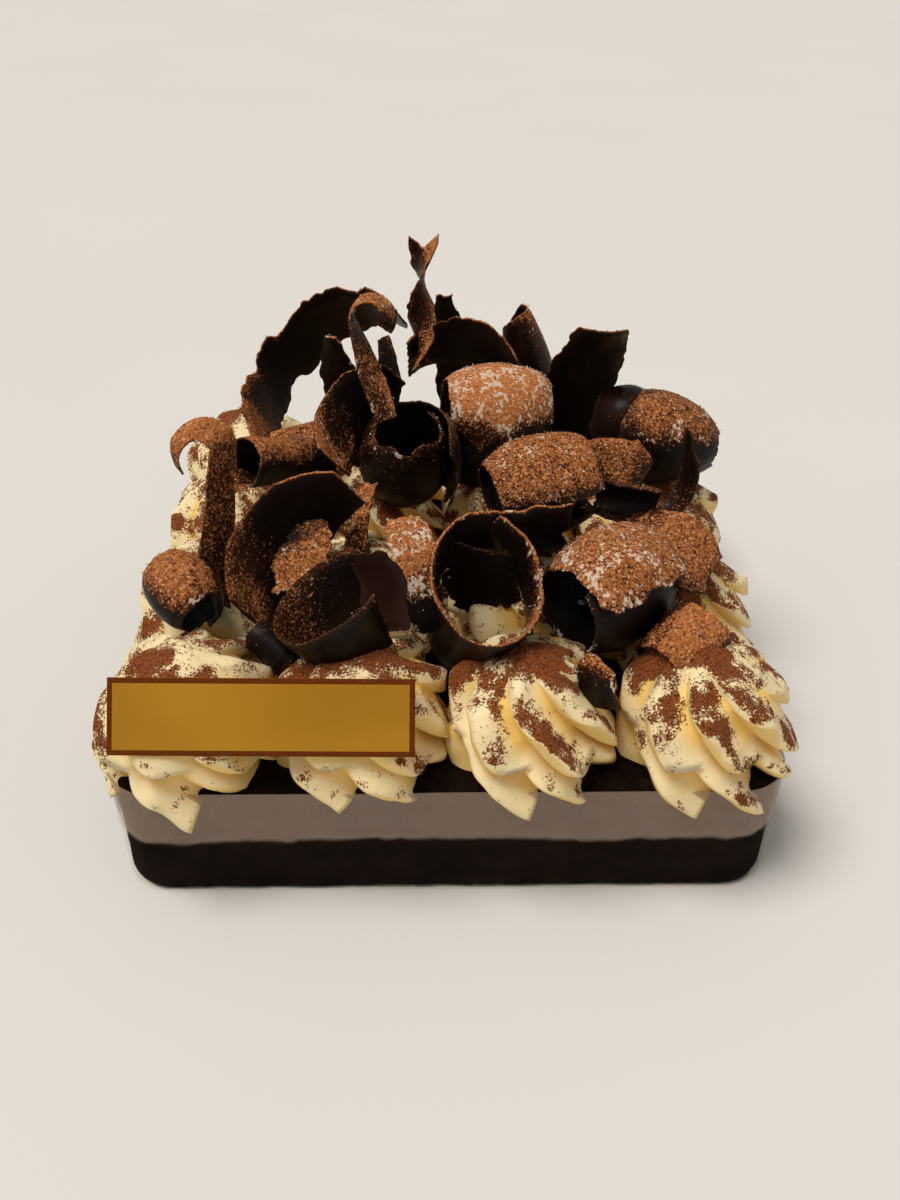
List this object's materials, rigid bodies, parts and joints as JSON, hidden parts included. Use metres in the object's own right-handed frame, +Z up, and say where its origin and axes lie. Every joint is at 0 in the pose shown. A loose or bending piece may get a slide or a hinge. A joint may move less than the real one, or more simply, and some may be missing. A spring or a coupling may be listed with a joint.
{
  "type": "chocolate cake",
  "caption": "Square chocolate cake in a clear film band, topped with piped cream rosettes, a heap of dark chocolate curls dusted with cocoa, and a small blank gold plaque.",
  "frame": {"origin": "centre of the sponge's flat underside", "axes": "+Z up, -Y to the front, where the plaque is, +X to the right seen from the front"},
  "size_m": [0.1592, 0.1592, 0.1189],
  "materials": {
    "sponge": "matt crumb",
    "film": "clear gloss film",
    "cream": "soft satin",
    "chocolate": "satin",
    "plaque": "gold satin print"
  },
  "bodies": {
    "root": {"cream_r1c1": "cream", "cream_r1c2": "cream", "cream_r1c3": "cream", "cream_r1c4": "cream", "cream_r2c1": "cream", "cream_r2c2": "cream", "cream_r2c3": "cream", "cream_r2c4": "cream", "cream_r3c1": "cream", "cream_r3c2": "cream", "cream_r3c3": "cream", "cream_r3c4": "cream", "cream_r4c1": "cream", "cream_r4c2": "cream", "cream_r4c3": "cream", "cream_r4c4": "cream", "curl_back_arch": "chocolate", "curl_back_black": "chocolate", "curl_back_dark": "chocolate", "curl_back_petal": "chocolate", "curl_back_point": "chocolate", "curl_back_spire": "chocolate", "curl_front_barrel": "chocolate", "curl_front_cup": "chocolate", "curl_front_flake": "chocolate", "curl_front_flap": "chocolate", "curl_front_inner": "chocolate", "curl_front_leaf": "chocolate", "curl_front_ring": "chocolate", "curl_front_shard": "chocolate", "curl_left_foot": "chocolate", "curl_left_hook": "chocolate", "curl_left_roll": "chocolate", "curl_left_trough": "chocolate", "curl_left_tube": "chocolate", "curl_mid_cup": "chocolate", "curl_mid_dome": "chocolate", "curl_mid_point": "chocolate", "curl_mid_shell": "chocolate", "curl_mid_strip": "chocolate", "curl_right_ball": "chocolate", "curl_right_dome": "chocolate", "curl_right_flake": "chocolate", "curl_right_ring": "chocolate", "curl_right_sail": "chocolate", "curl_right_sheet": "chocolate", "curl_right_strip": "chocolate", "curl_tall_back": "chocolate", "curl_tall_side": "chocolate", "curl_tall_twist": "chocolate", "curl_top_arch": "chocolate", "film_band": "film", "plaque": "plaque", "sponge": "sponge"}
  },
  "joints": []
}
